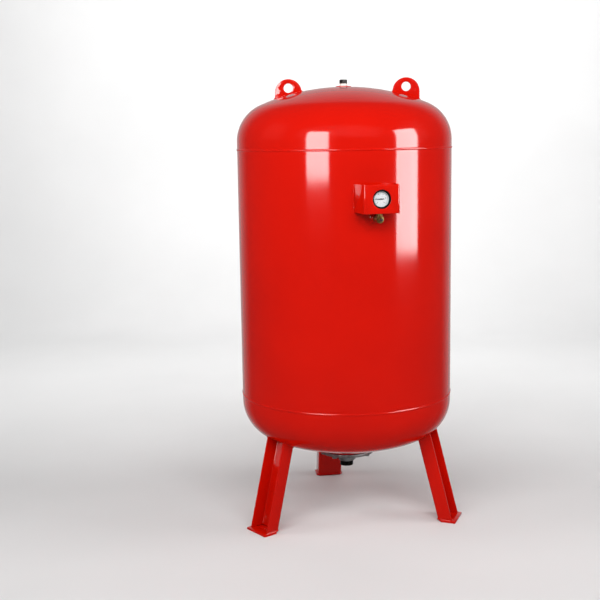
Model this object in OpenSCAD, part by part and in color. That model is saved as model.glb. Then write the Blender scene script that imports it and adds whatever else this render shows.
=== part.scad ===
// Upright expansion vessel for closed heating systems, with a replaceable bladder.
// Origin: on the floor, under the vessel's axis. +Z up. The pressure gauge faces -Y.

/* [Vessel] */
// Outer diameter of the shell
body_d = 750; // [700:10:800]
// Height of the rolled shell, from seam to seam
body_h = 865; // [700:5:1000]
// Height of the lower seam above the floor
body_lift = 447; // [435:1:480]
// Thickness of the steel sheet
sheet_t = 3; // [2.5:0.5:4]
// Straight skirt of each dished head
skirt_h = 27; // [20:1:40]
// Depth of each dished head, without its skirt
dish_h = 185; // [170:0.5:200]
// Radius of the knuckle between a head's crown and its skirt
knuckle_r = 137; // [100:1:150]

/* [Legs] */
// Width of the leg's channel section, across its web
leg_w = 94; // [70:1:100]
// Depth of the leg's channel section, along its flanges
leg_d = 50; // [30:1:55]
// Thickness of the leg's sheet
leg_t = 5; // [3:0.5:6]
// Outward lean of the legs, in degrees
leg_splay = 14.5; // [10:0.5:16]
// Distance of the foot plates' centres from the vessel's axis
foot_r = 388; // [370:1:400]
// Turn of the three legs about the axis, in degrees
leg_turn = -4; // [-10:1:10]
// Width of the foot plates
foot_w = 104; // [100:1:110]
// Depth of the foot plates, away from the vessel's axis
foot_d = 62; // [60:1:70]
// Thickness of the foot plates
foot_t = 8; // [5:1:10]
// Diameter of the anchor hole in each foot plate
anchor_d = 12; // [10:1:14]

/* [Lifting lugs] */
// Width of a lug
lug_w = 94; // [80:1:110]
// Thickness of a lug
lug_t = 10; // [6:1:14]
// Diameter of the eye
eye_d = 32; // [24:1:36]
// Half the distance between the two eyes
lug_r = 205; // [190:1:220]
// Distance of the pair's middle from the vessel's axis
lug_shift = 13; // [0:1:20]
// Height of the eyes above the upper seam
eye_rise = 210; // [205:1:220]
// Turn of the line through both lugs, in degrees
lug_turn = -13; // [-30:1:0]

/* [Bottom flange] */
// Outer diameter of the flange and its ring
flange_d = 200; // [190:1:210]
// Thickness of the cover flange
flange_t = 10; // [8:1:12]
// Diameter of the bolt circle
bolt_circle_d = 170; // [160:1:174]
// Number of bolts
bolt_count = 8; // [6:1:10]
// Diameter of the water connection's thread
nipple_d = 47.8; // [42:0.1:50]

/* [Gauge] */
// Height of the gauge's centre above the floor
gauge_z = 1159; // [1157:0.5:1170]
// Diameter of the gauge's case
gauge_d = 60; // [58:1:62]
// Width of the guard's front
guard_w = 118; // [100:1:130]
// Height of the guard
guard_h = 91; // [80:1:100]
// Diameter of the guard's window
window_d = 60; // [54:1:64]
// Height of the tee's run above the floor
tee_z = 1094; // [1090:1:1096]

/* [Hidden] */
$fn = 96;
body_r = body_d / 2;
top_seam_z = body_lift + body_h;
crown_steps = 12;
knuckle_steps = 10;
upper_dish_z = top_seam_z + skirt_h;
lower_dish_z = body_lift - skirt_h;

// Weld beads: a round of this radius, sunk so that only its cap stands proud
bead_r = 5;
bead_sunk = 3.2;

// Flange stack, from the head down
ring_in_r = 60;
ring_t = 20;
gasket_t = 3;
flange_top_z = 224;
ring_z = flange_top_z + gasket_t;
bolt_d = 10;
bolt_head_af = 17;
bolt_head_t = 6.4;
bolt_thread = 14;
washer_t = 2;
washer_r = 10;
nipple_bore_r = 18;
collar_r = 29;
collar_h = 35;
collar_z = flange_top_z - flange_t - collar_h;
nipple_z = 161;
nipple_relief = 2;
nipple_screwed = 14;

// Bladder
bag_r = 255;
bag_dish_h = 160;
bag_knuckle_r = 110;
bag_t = 3;
bag_top_z = 1499;
bag_neck_r = 57;
bag_low_z = 280;
stud_r = 8;

// Top fitting
boss_r = 25;
boss_low_z = 1506;
boss_top_z = 1526.5;
seal_t = 8;
seal_r = 13;
nut_af = 24;
nut_h = 14;

// Gauge: distances are measured from the vessel's axis towards the viewer
guard_out = 455;
guard_t = 2.5;
guard_foot_x = 67.5;
bend_r = 6;
guard_corner_r = 14;
bezel_out = 449;
bezel_r = gauge_d / 2 + 2.5;
bezel_lip_r = 24.5;
case_t = 1.2;
case_front = 445.5;
case_back = 416;
lens_t = 2;
dial_out = 441.4;
dial_t = 0.6;
dial_r = 28.5;
plate_front = 438.5;
plate_back = 432.5;
plate_t = 1;
arbor_r = 0.8;
bearing_r = 0.85;
pinion_r = 1.5;
mesh_gap = 0.1;
sector_r = 9;
pivot_x = 5.25;
pivot_z = -9.09;
tail_len = 7;
tail_x = pivot_x + tail_len / 2;
tail_z = pivot_z - tail_len * 0.866;
tube_r = 20;
tip_x = 19.5;
tip_z = 3;
stem_out = 424;
stem_block = [12, 14, 22];
square_af = 14;

// Tee and charging valve
tee_r = 12;
tee_front = 434.5;
tee_back = 394;
branch_r = 10;
branch_top = 18.5;
gauge_port_r = 6.5;
socket_r = 15;
socket_port_r = 8.3;
valve_port_r = 5;
valve_hex_af = 12;
stem_r = 3.875;
valve_tip = 449.5;
core_r = 2.5;
pin_r = 0.9;
cap_r = 4.75;
cap_bore_r = 3.95;
cap_tip = 451.5;
cap_rim = 439.5;
cap_end_t = 1.2;
cap_seal_t = 0.7;

red = "#d21c14";
zinc = "#b9bcbd";
brass = "#b9975b";
black = "#1c1c1e";

// ---- Shapes that several pieces share ----

// Half outline of a dish: a knuckle of radius k from the rim (r, 0), then a crown up to the pole (0, h)
function dish_outline(r, h, k) =
    let (crown = ((r - k) * (r - k) + h * h - k * k) / (2 * (h - k)),
         meet = asin((r - k) / (crown - k)))
    concat(
        [for (i = [0:knuckle_steps]) let (a = (90 - meet) * i / knuckle_steps)
            [r - k + k * cos(a), k * sin(a)]],
        [for (i = [1:crown_steps]) let (a = meet * (1 - i / crown_steps))
            [crown * sin(a), h - crown + crown * cos(a)]]
    );

// Solid under a dished head: the dish stands on a skirt that reaches down by drop
module dish_solid(r, h, k, drop) {
    rotate_extrude() polygon(concat([[0, -drop], [r, -drop]], dish_outline(r, h, k)));
}

// Pressed head with an even wall, its skirt ending at the seam
module dished_head() {
    difference() {
        dish_solid(body_r, dish_h, knuckle_r, skirt_h);
        dish_solid(body_r - sheet_t, dish_h - sheet_t, knuckle_r - sheet_t, skirt_h + 1);
    }
}

// Everything inside the outer surface of the lower half of the vessel
module lower_envelope() {
    translate([0, 0, lower_dish_z]) mirror([0, 0, 1]) dish_solid(body_r, dish_h, knuckle_r, body_h / 2);
}

// Everything inside the outer surface of the upper half of the vessel
module upper_envelope() {
    translate([0, 0, upper_dish_z]) dish_solid(body_r, dish_h, knuckle_r, body_h / 2);
}

// Half-round bead around the vessel at height z
module round_bead(z) {
    translate([0, 0, z]) rotate_extrude() intersection() {
        translate([body_r - bead_sunk, 0]) circle(r = bead_r, $fn = 32);
        translate([body_r, -bead_r]) square(2 * bead_r);
    }
}

// Places its children on a circle of radius r, count times
module on_circle(r, count) {
    for (i = [0:count - 1]) rotate([0, 0, i * 360 / count]) translate([r, 0, 0]) children();
}

// Hexagon of a given width across flats, standing on z = 0
module hexagon(af, h) {
    cylinder(d = af / cos(30), h = h, $fn = 6);
}

// Cylinder along Y, from one distance out of the vessel's axis to another
module pipe_y(r, from, to) {
    translate([0, -to, 0]) rotate([-90, 0, 0]) cylinder(r = r, h = to - from);
}

// Flat outline in the gauge's XZ plane, between two distances from the vessel's axis
module slab_y(from, to) {
    translate([0, -from, 0]) rotate([90, 0, 0]) linear_extrude(to - from) children();
}

module at_gauge() {
    translate([0, 0, gauge_z]) children();
}

module at_tee() {
    translate([0, 0, tee_z]) children();
}

// ---- Vessel ----

module shell() {
    color(red) difference() {
        translate([0, 0, body_lift]) cylinder(r = body_r, h = body_h, $fn = 180);
        translate([0, 0, body_lift - 1]) cylinder(r = body_r - sheet_t, h = body_h + 2, $fn = 180);
        at_tee() pipe_y(socket_port_r, body_r - 20, body_r + 5);
    }
}

module upper_head() {
    color(red) difference() {
        translate([0, 0, upper_dish_z]) dished_head();
        translate([0, 0, boss_low_z]) cylinder(r = boss_r, h = 40);
    }
}

module lower_head() {
    color(red) difference() {
        translate([0, 0, lower_dish_z]) mirror([0, 0, 1]) dished_head();
        translate([0, 0, ring_z - 5]) cylinder(d = flange_d, h = 40);
    }
}

module upper_weld_bead() {
    color(red) round_bead(top_seam_z);
}

module lower_weld_bead() {
    color(red) round_bead(body_lift);
}

// Lengthwise seam of the rolled shell, at the back
module shell_weld_bead() {
    end_gap = 6;
    seam_az = 60;
    color(red) rotate([0, 0, seam_az]) translate([body_r, 0, body_lift + end_gap])
        linear_extrude(body_h - 2 * end_gap) intersection() {
            translate([-bead_sunk, 0]) circle(r = bead_r, $fn = 32);
            translate([0, -bead_r]) square(2 * bead_r);
        }
}

// ---- Legs ----

// Channel with its web towards the vessel, leaning out, cut to the floor plate and the head
module leg(az) {
    reach = 400;
    leg_r = foot_r - foot_d / 2 + leg_d / 2;
    color(red) rotate([0, 0, az + leg_turn]) difference() {
        translate([leg_r, 0, 0]) rotate([0, -leg_splay, 0]) translate([-leg_d / 2, -leg_w / 2, -20])
            difference() {
                cube([leg_d, leg_w, reach]);
                translate([leg_t, leg_t, -1]) cube([leg_d, leg_w - 2 * leg_t, reach + 2]);
            }
        translate([foot_r - 100, -leg_w, foot_t - 60]) cube([200, 2 * leg_w, 60]);
        lower_envelope();
    }
}

// Flat plate under the leg's end, with a hole for an anchor and its inner corners cut off
module foot_plate(az) {
    x = foot_d / 2;
    y = foot_w / 2;
    cut = 12;
    color(red) rotate([0, 0, az + leg_turn]) translate([foot_r, 0, 0]) difference() {
        linear_extrude(foot_t)
            polygon([[-x, cut - y], [cut - x, -y], [x, -y], [x, y], [cut - x, y], [-x, y - cut]]);
        translate([0, 0, -1]) cylinder(d = anchor_d, h = foot_t + 2);
    }
}

module leg_left() { leg(210); }
module leg_right() { leg(330); }
module leg_back() { leg(90); }
module foot_plate_left() { foot_plate(210); }
module foot_plate_right() { foot_plate(330); }
module foot_plate_back() { foot_plate(90); }

// ---- Lifting lugs ----

// Upright plate with a round top and an eye, standing on the upper head
module lifting_lug(az, r) {
    eye_z = top_seam_z + eye_rise;
    arc_z = eye_z - 16;
    color(red) rotate([0, 0, az + lug_turn]) difference() {
        translate([r, lug_t / 2, 0]) rotate([90, 0, 0]) linear_extrude(lug_t) difference() {
            union() {
                translate([0, arc_z]) circle(d = lug_w);
                translate([-lug_w / 2, arc_z - 70]) square([lug_w, 70]);
            }
            translate([0, eye_z]) circle(d = eye_d);
        }
        upper_envelope();
    }
}

module lifting_lug_left() { lifting_lug(180, lug_r - lug_shift); }
module lifting_lug_right() { lifting_lug(0, lug_r + lug_shift); }

// ---- Bottom flange and water connection ----

// Ring welded into the lower head, with blind threaded holes for the bolts
module neck_ring() {
    color(red) difference() {
        translate([0, 0, ring_z]) cylinder(d = flange_d, h = ring_t);
        translate([0, 0, ring_z - 1]) cylinder(r = ring_in_r, h = ring_t + 2);
        on_circle(bolt_circle_d / 2, bolt_count)
            translate([0, 0, ring_z - 1]) cylinder(d = bolt_d, h = bolt_thread + 2, $fn = 32);
    }
}

// Solid of the bag without its neck, every face moved in by t
module bag_solid(t) {
    translate([0, 0, bag_top_z - bag_dish_h])
        dish_solid(bag_r - t, bag_dish_h - t, bag_knuckle_r - t, bag_r);
    translate([0, 0, bag_low_z + bag_dish_h]) mirror([0, 0, 1])
        dish_solid(bag_r - t, bag_dish_h - t, bag_knuckle_r - t, bag_top_z - bag_low_z - bag_dish_h - bag_r);
}

// Butyl bag with a neck and a flat collar that seals under the cover flange
module bladder() {
    neck_h = 60;
    color(black) difference() {
        union() {
            bag_solid(0);
            translate([0, 0, flange_top_z]) cylinder(r = bag_neck_r, h = neck_h);
            translate([0, 0, flange_top_z]) cylinder(d = flange_d - 4, h = gasket_t);
        }
        bag_solid(bag_t);
        translate([0, 0, flange_top_z - 1]) cylinder(r = bag_neck_r - bag_t, h = neck_h);
        translate([0, 0, bag_top_z - 10]) cylinder(r = stud_r, h = 20);
        on_circle(bolt_circle_d / 2, bolt_count)
            translate([0, 0, flange_top_z - 1]) cylinder(d = bolt_d + 1, h = gasket_t + 2, $fn = 32);
    }
}

module cover_flange() {
    color(zinc) difference() {
        translate([0, 0, flange_top_z - flange_t]) cylinder(d = flange_d, h = flange_t);
        translate([0, 0, flange_top_z - flange_t - 1]) cylinder(d = nipple_d, h = flange_t + 2);
        on_circle(bolt_circle_d / 2, bolt_count)
            translate([0, 0, flange_top_z - flange_t - 1])
                cylinder(d = bolt_d + 1, h = flange_t + 2, $fn = 32);
    }
}

// Screwed socket welded through the cover flange
module water_socket() {
    color(zinc) difference() {
        union() {
            translate([0, 0, collar_z]) cylinder(d = nipple_d, h = flange_top_z - collar_z);
            translate([0, 0, collar_z]) cylinder(r = collar_r, h = collar_h);
        }
        translate([0, 0, collar_z - 1]) cylinder(r = nipple_bore_r, h = flange_top_z - collar_z + 2);
        translate([0, 0, collar_z - 1]) cylinder(d = nipple_d - 4, h = nipple_screwed + 1);
    }
}

// Nipple screwed into the socket, its free end a male pipe thread
module water_nipple() {
    chamfer = 1.5;
    thread_top = collar_z - nipple_relief;
    color(black) difference() {
        union() {
            translate([0, 0, thread_top])
                cylinder(d = nipple_d - 4, h = nipple_relief + nipple_screwed);
            translate([0, 0, nipple_z + chamfer])
                cylinder(d = nipple_d, h = thread_top - nipple_z - chamfer);
            translate([0, 0, nipple_z]) cylinder(d1 = nipple_d - 2 * chamfer, d2 = nipple_d, h = chamfer);
        }
        translate([0, 0, nipple_z - 1]) cylinder(r = nipple_bore_r, h = collar_h + 2);
    }
}

// Hexagon screws, from below into the neck ring
module flange_bolts() {
    head_z = flange_top_z - flange_t - washer_t;
    color(zinc) on_circle(bolt_circle_d / 2, bolt_count) {
        translate([0, 0, head_z - bolt_head_t]) hexagon(bolt_head_af, bolt_head_t);
        translate([0, 0, head_z]) cylinder(d = bolt_d, h = ring_z + bolt_thread - head_z, $fn = 32);
    }
}

module flange_washers() {
    color(zinc) on_circle(bolt_circle_d / 2, bolt_count)
        translate([0, 0, flange_top_z - flange_t - washer_t]) difference() {
            cylinder(r = washer_r, h = washer_t, $fn = 48);
            translate([0, 0, -1]) cylinder(d = bolt_d, h = washer_t + 2, $fn = 32);
        }
}

// ---- Top fitting, which holds the bladder's upper end ----

module top_boss() {
    color(red) difference() {
        translate([0, 0, boss_low_z]) cylinder(r = boss_r, h = boss_top_z - boss_low_z);
        translate([0, 0, boss_low_z - 1]) cylinder(r = stud_r, h = boss_top_z - boss_low_z + 2);
    }
}

// Round plate inside the bag, with a stud that passes through the boss
module bladder_hanger() {
    plate_r = 32;
    hanger_t = 5;
    plate_z = bag_top_z - bag_t - hanger_t - 2;
    color(zinc) {
        translate([0, 0, plate_z]) cylinder(r = plate_r, h = hanger_t);
        translate([0, 0, plate_z + hanger_t])
            cylinder(r = stud_r, h = boss_top_z + seal_t + nut_h - 1 - plate_z - hanger_t);
    }
}

module hanger_seal() {
    color("white") translate([0, 0, boss_top_z]) difference() {
        cylinder(r = seal_r, h = seal_t);
        translate([0, 0, -1]) cylinder(r = stud_r, h = seal_t + 2);
    }
}

module hanger_nut() {
    color("#6d6e6c") translate([0, 0, boss_top_z + seal_t]) difference() {
        hexagon(nut_af, nut_h);
        translate([0, 0, -1]) cylinder(r = stud_r, h = nut_h + 2);
    }
}

// ---- Tee and charging valve ----

module gauge_socket() {
    color(red) difference() {
        at_tee() pipe_y(socket_r, body_r - 25, tee_back);
        at_tee() pipe_y(socket_port_r, body_r - 30, tee_back + 1);
        translate([0, 0, body_lift]) cylinder(r = body_r, h = body_h, $fn = 180);
    }
}

module valve_tee() {
    passage_r = 3;
    spigot = 10;
    port_depth = 8;
    thread_depth = 12;
    color(brass) at_tee() difference() {
        union() {
            pipe_y(tee_r, tee_back, tee_front);
            pipe_y(socket_port_r, tee_back - spigot, tee_back);
            translate([0, -stem_out, 0]) cylinder(r = branch_r, h = branch_top);
        }
        pipe_y(passage_r, tee_back - spigot - 1, tee_front);
        pipe_y(valve_port_r, tee_front - port_depth, tee_front + 1);
        translate([0, -stem_out, branch_top - thread_depth]) cylinder(r = gauge_port_r, h = thread_depth + 1);
        translate([0, -stem_out, 0]) cylinder(r = passage_r, h = branch_top);
    }
}

module valve_body() {
    hex_t = 4;
    thread = 7;
    color(brass) at_tee() difference() {
        union() {
            pipe_y(valve_port_r, tee_front - thread, tee_front);
            translate([0, -tee_front, 0]) rotate([90, 0, 0]) hexagon(valve_hex_af, hex_t);
            pipe_y(stem_r, tee_front + hex_t, valve_tip);
        }
        pipe_y(core_r, tee_front - thread - 1, valve_tip + 1);
    }
}

// Screwed insert that carries the valve pin
module valve_core() {
    color(brass) at_tee() difference() {
        pipe_y(core_r, tee_front - 1, valve_tip - 1);
        pipe_y(pin_r + 0.06, tee_front - 2, valve_tip);
    }
}

// Pin that opens the valve when it is pushed in
module valve_pin() {
    head_r = 1.9;
    head_t = 1.5;
    seat_gap = 0.05;
    color(zinc) at_tee() {
        pipe_y(pin_r, tee_front - 1 - seat_gap, valve_tip - 0.5);
        pipe_y(head_r, tee_front - 1 - seat_gap - head_t, tee_front - 1 - seat_gap);
    }
}

module valve_cap() {
    color(black) at_tee() difference() {
        pipe_y(cap_r, cap_rim, cap_tip);
        pipe_y(cap_bore_r, cap_rim - 1, cap_tip - cap_end_t);
    }
}

module cap_seal() {
    color("#3a3a3c") at_tee()
        pipe_y(cap_bore_r - 0.1, cap_tip - cap_end_t - 0.05 - cap_seal_t, cap_tip - cap_end_t - 0.05);
}

// ---- Guard ----

// Arc of a bend, as points about a centre
function arc(cx, cy, r, a0, a1) =
    [for (i = [0:4]) [cx + r * cos(a0 + (a1 - a0) * i / 4), cy + r * sin(a0 + (a1 - a0) * i / 4)]];

// Plan of the folded sheet's outer face, moved in by t
function guard_plan(t) =
    let (x = guard_w / 2, y = guard_out, r = bend_r, back = body_r - 40,
         lean = (guard_foot_x - x) / (guard_out - body_r))
    concat(
        [[-x - lean * (y - back) + t, -back]],
        arc(-x + r, -y + r, r - t, 180, 270),
        arc(x - r, -y + r, r - t, 270, 360),
        [[x + lean * (y - back) - t, -back]]
    );

// Side view of the guard, with the lower rear corners rounded off
module guard_side() {
    rear = body_r - 30;
    r = guard_corner_r;
    polygon(concat(
        [[-guard_out - 1, -guard_h / 2], [-guard_out - 1, guard_h / 2], [-rear, guard_h / 2]],
        arc(-body_r - 2 + 6, -guard_h / 2 + r, r, 0, -90)
    ));
}

module gauge_guard() {
    color(red) difference() {
        intersection() {
            at_gauge() translate([0, 0, -guard_h / 2]) linear_extrude(guard_h) difference() {
                polygon(guard_plan(0));
                polygon(guard_plan(guard_t));
            }
            at_gauge() translate([-guard_w, 0, 0]) rotate([90, 0, 90])
                linear_extrude(2 * guard_w) guard_side();
        }
        at_gauge() pipe_y(window_d / 2, guard_out - 10, guard_out + 5);
        translate([0, 0, body_lift]) cylinder(r = body_r, h = body_h, $fn = 180);
    }
}

// ---- Pressure gauge ----

module gauge_case() {
    neck_r = 6;
    color(black) at_gauge() difference() {
        pipe_y(gauge_d / 2, case_back, case_front);
        pipe_y(gauge_d / 2 - case_t, case_back + case_t, case_front + 1);
        translate([0, -stem_out, -gauge_d]) cylinder(r = neck_r, h = gauge_d);
    }
}

module gauge_bezel() {
    wrap = 6.5;
    lip_t = 1.5;
    color(black) at_gauge() difference() {
        pipe_y(bezel_r, case_front - wrap, bezel_out);
        pipe_y(gauge_d / 2, case_front - wrap - 1, bezel_out - lip_t);
        pipe_y(bezel_lip_r, bezel_out - lip_t - 1, bezel_out + 1);
    }
}

module gauge_lens() {
    color([0.8, 0.9, 0.95, 0.3]) at_gauge() pipe_y(gauge_d / 2, case_front, case_front + lens_t);
}

module gauge_dial() {
    color("white") at_gauge() difference() {
        pipe_y(dial_r, dial_out - dial_t, dial_out);
        pipe_y(2, dial_out - 5, dial_out + 5);
    }
}

// Needle that points to the left at rest, on its hub
module gauge_pointer() {
    hub_r = 2.2;
    blade = [dial_out + 1.5, dial_out + 2];
    color(black) at_gauge() difference() {
        union() {
            pipe_y(hub_r, dial_out + 0.6, dial_out + 3);
            slab_y(blade[0], blade[1])
                polygon([[-20, -0.3], [-20, 0.3], [0, 1.4], [10, 1], [10, -1], [0, -1.4]]);
        }
        pipe_y(arbor_r, dial_out, dial_out + 3.5);
    }
}

module pinion_arbor() {
    color(brass) at_gauge() {
        pipe_y(arbor_r, plate_back - plate_t + 0.1, dial_out + 3);
        pipe_y(pinion_r, 433.6, 436.4);
    }
}

// Toothed sector on its own arbor; its tail is pulled by the link
module sector_gear() {
    gear_y = [434.5, 435.5];
    spread = 32;
    color(brass) at_gauge() {
        difference() {
            slab_y(gear_y[0], gear_y[1]) translate([pivot_x, pivot_z]) union() {
                intersection() {
                    circle(r = sector_r - mesh_gap);
                    polygon([[0, 0], for (a = [-spread:8:spread]) 12 * [cos(135 + a), sin(135 + a)]]);
                }
                circle(r = 2.4);
                rotate(-60) translate([0, -1]) square([tail_len + 1, 2]);
            }
            translate([pivot_x, 0, pivot_z]) pipe_y(arbor_r, gear_y[0] - 1, gear_y[1] + 1);
        }
        translate([pivot_x, 0, pivot_z])
            pipe_y(arbor_r, plate_back - plate_t + 0.1, plate_front - 0.1);
        translate([tail_x, 0, tail_z]) pipe_y(0.5, gear_y[1], gear_y[1] + 1.4);
    }
}

// Two plates on pillars that carry both arbors; spacers hold the dial in front
module movement_frame() {
    pillar_r = 1.2;
    color(brass) at_gauge() {
        difference() {
            for (y = [plate_back - plate_t, plate_front - plate_t]) slab_y(y, y + plate_t) intersection() {
                circle(r = 15);
                square([24, 30], center = true);
            }
            pipe_y(bearing_r, plate_back - 2, plate_front + 1);
            translate([pivot_x, 0, pivot_z]) pipe_y(bearing_r, plate_back - 2, plate_front + 1);
        }
        for (p = [[-9.5, -9], [-9, 10], [9, 10]]) translate([p[0], 0, p[1]])
            pipe_y(pillar_r, plate_back, plate_front - plate_t);
        for (x = [-9, 9]) translate([x, 0, 3])
            pipe_y(pillar_r, plate_front, dial_out - dial_t);
    }
}

// Flat tube bent in a C around the movement, from the stem block to its closed tip
module bourdon_tube() {
    tube_w = 7;
    tube_t = 2.2;
    wall = 0.5;
    sweep = 250;
    color(brass) at_gauge() difference() {
        translate([0, -430, 0]) rotate([90, 0, 0]) rotate([0, 0, 10]) union() {
            difference() {
                rotate_extrude(angle = sweep)
                    translate([tube_r - tube_t / 2, -tube_w / 2]) square([tube_t, tube_w]);
                rotate([0, 0, 2]) rotate_extrude(angle = sweep)
                    translate([tube_r - tube_t / 2 + wall, -tube_w / 2 + wall])
                        square([tube_t - 2 * wall, tube_w - 2 * wall]);
            }
        }
        stem_block_solid();
    }
}

// Thin bar from the sector's tail towards the tube's tip
module bourdon_link() {
    link_y = [435.9, 436.6];
    link_len = norm([tip_x - tail_x, tip_z - tail_z]);
    lean = atan2(tip_z - tail_z, tip_x - tail_x);
    color(brass) at_gauge() slab_y(link_y[0], link_y[1]) translate([tail_x, tail_z]) rotate(lean)
        difference() {
            union() {
                circle(r = 1.4);
                translate([link_len, 0]) circle(r = 1.4);
                translate([0, -0.6]) square([link_len, 1.2]);
            }
            circle(r = 0.56);
            translate([link_len, 0]) circle(r = 0.56);
        }
}

module stem_block_solid() {
    translate([-stem_block[0] / 2, -stem_out - 7.5, -28]) cube(stem_block);
}

// Block that carries the movement and the tube, a neck, a square and a pipe thread
module gauge_stem() {
    neck_r = 6;
    square_top = -36;
    square_low = tee_z + branch_top + 1.5 - gauge_z;
    color(brass) at_gauge() difference() {
        union() {
            stem_block_solid();
            translate([0, -stem_out, square_top]) cylinder(r = neck_r, h = 8.5);
            translate([-square_af / 2, -stem_out - square_af / 2, square_low])
                cube([square_af, square_af, square_top - square_low]);
            translate([0, -stem_out, square_low - 12]) cylinder(r = gauge_port_r, h = 12);
        }
        translate([0, -stem_out, square_low - 13]) cylinder(r = 2, h = 45);
    }
}

module stem_washer() {
    color("#b87333") at_tee() translate([0, -stem_out, branch_top]) difference() {
        cylinder(r = branch_r - 0.5, h = 1.5);
        translate([0, 0, -1]) cylinder(r = gauge_port_r, h = 4);
    }
}

shell();
upper_head();
lower_head();
upper_weld_bead();
lower_weld_bead();
shell_weld_bead();
leg_left();
leg_right();
leg_back();
foot_plate_left();
foot_plate_right();
foot_plate_back();
lifting_lug_left();
lifting_lug_right();
neck_ring();
bladder();
cover_flange();
water_socket();
water_nipple();
flange_bolts();
flange_washers();
top_boss();
bladder_hanger();
hanger_seal();
hanger_nut();
gauge_socket();
valve_tee();
valve_body();
valve_core();
valve_pin();
valve_cap();
cap_seal();
gauge_guard();
gauge_case();
gauge_bezel();
gauge_lens();
gauge_dial();
gauge_pointer();
pinion_arbor();
sector_gear();
movement_frame();
bourdon_tube();
bourdon_link();
gauge_stem();
stem_washer();
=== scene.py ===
import math

import bmesh
import bpy
from mathutils import Matrix, Vector


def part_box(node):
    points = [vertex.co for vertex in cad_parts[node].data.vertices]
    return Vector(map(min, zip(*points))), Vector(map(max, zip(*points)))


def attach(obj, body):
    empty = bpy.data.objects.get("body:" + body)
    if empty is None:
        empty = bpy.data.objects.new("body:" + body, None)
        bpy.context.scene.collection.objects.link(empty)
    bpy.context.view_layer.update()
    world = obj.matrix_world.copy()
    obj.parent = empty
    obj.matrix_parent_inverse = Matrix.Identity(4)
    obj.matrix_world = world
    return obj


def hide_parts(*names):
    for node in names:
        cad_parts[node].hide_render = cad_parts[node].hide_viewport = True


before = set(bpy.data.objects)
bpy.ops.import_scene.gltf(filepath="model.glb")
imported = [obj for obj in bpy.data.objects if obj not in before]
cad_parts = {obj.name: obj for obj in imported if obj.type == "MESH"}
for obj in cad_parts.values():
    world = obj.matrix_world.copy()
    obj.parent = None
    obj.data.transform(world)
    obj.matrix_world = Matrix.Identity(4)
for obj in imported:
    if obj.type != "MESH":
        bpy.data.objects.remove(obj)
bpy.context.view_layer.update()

# ---- Shell ---------------------------------------------------------------------------
# Steel sheet, rolled to a cylinder and welded along its length at the back. It is painted
# once the whole vessel is welded: one coat of gloss red powder over sheet, welds and legs.

SHEET_T = 0.003
ROUND_STEPS = 256
VESSEL = "vessel"
shell_low, shell_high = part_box("shell")
body_r = (shell_high.y - shell_low.y) / 2
lower_seam, upper_seam = shell_low.z, shell_high.z


def linear(hex_colour):
    """An sRGB hex colour as linear RGBA."""
    channels = [int(hex_colour[i:i + 2], 16) / 255 for i in (1, 3, 5)]
    light = [c / 12.92 if c <= 0.04045 else ((c + 0.055) / 1.055) ** 2.4 for c in channels]
    return light + [1.0]


def add(tree, kind, values=None, links=None, **settings):
    """Adds a node with its settings, its sockets' values and its links."""
    made = tree.nodes.new(kind)
    for key, value in settings.items():
        setattr(made, key, value)
    for key, value in (values or {}).items():
        made.inputs[key].default_value = value
    for key, source in (links or {}).items():
        tree.links.new(source, made.inputs[key])
    return made


def new_material(name, **shader_values):
    """A material with a Principled shader, and its tree, shader and Object coordinates."""
    material = bpy.data.materials.new(name)
    material.use_nodes = True
    tree = material.node_tree
    shader = tree.nodes["Principled BSDF"]
    for key, value in shader_values.items():
        shader.inputs[key.replace("_", " ")].default_value = value
    place = add(tree, "ShaderNodeTexCoord").outputs["Object"]
    return material, tree, shader, place


def tint(tree, shader, place, light, dark, size):
    """The base colour drifts between two colours, in patches of a size in metres."""
    cloud = add(tree, "ShaderNodeTexNoise", {"Scale": 1 / size, "Detail": 3.0}, {"Vector": place})
    ramp = add(tree, "ShaderNodeValToRGB", links={"Fac": cloud.outputs["Fac"]})
    for stop, position, colour in zip(ramp.color_ramp.elements, (0.35, 0.65), (dark, light)):
        stop.position = position
        stop.color = linear(colour)
    tree.links.new(ramp.outputs["Color"], shader.inputs["Base Color"])


def uneven(tree, shader, place, bumps):
    """Stacks bumps on the surface: each has a size and a height, in metres, and a stretch."""
    normal = None
    for size, height, stretch in bumps:
        spread = add(tree, "ShaderNodeMapping", {"Scale": stretch}, {"Vector": place})
        cloud = add(tree, "ShaderNodeTexNoise", {"Scale": 1 / size, "Detail": 2.0},
                    {"Vector": spread.outputs["Vector"]})
        links = {"Height": cloud.outputs["Fac"]}
        if normal:
            links["Normal"] = normal
        bump = add(tree, "ShaderNodeBump", {"Distance": height, "Strength": 1.0}, links)
        normal = bump.outputs["Normal"]
    tree.links.new(normal, shader.inputs["Normal"])


def gloss_drift(tree, shader, place, low, high, size):
    """The roughness drifts between two values, in patches of a size in metres."""
    cloud = add(tree, "ShaderNodeTexNoise", {"Scale": 1 / size, "Detail": 4.0}, {"Vector": place})
    span = add(tree, "ShaderNodeMapRange", {"To Min": low, "To Max": high},
               {"Value": cloud.outputs["Fac"]})
    tree.links.new(span.outputs["Result"], shader.inputs["Roughness"])


def red_powder_coat():
    # Gloss polyester powder on steel: deep, even red with clear reflections. The rolled sheet
    # under it is a little wavy, and the coat itself has a fine orange peel.
    material, tree, shader, place = new_material("red_gloss_powder_coat", IOR=1.58)
    tint(tree, shader, place, "#c81002", "#c10e02", 0.35)
    gloss_drift(tree, shader, place, 0.07, 0.11, 0.12)
    sheet_wave = (0.16, 0.0004, (1, 1, 0.6))
    orange_peel = (0.004, 0.000008, (1, 1, 1))
    uneven(tree, shader, place, [sheet_wave, orange_peel])
    return material


RED = red_powder_coat()


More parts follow.
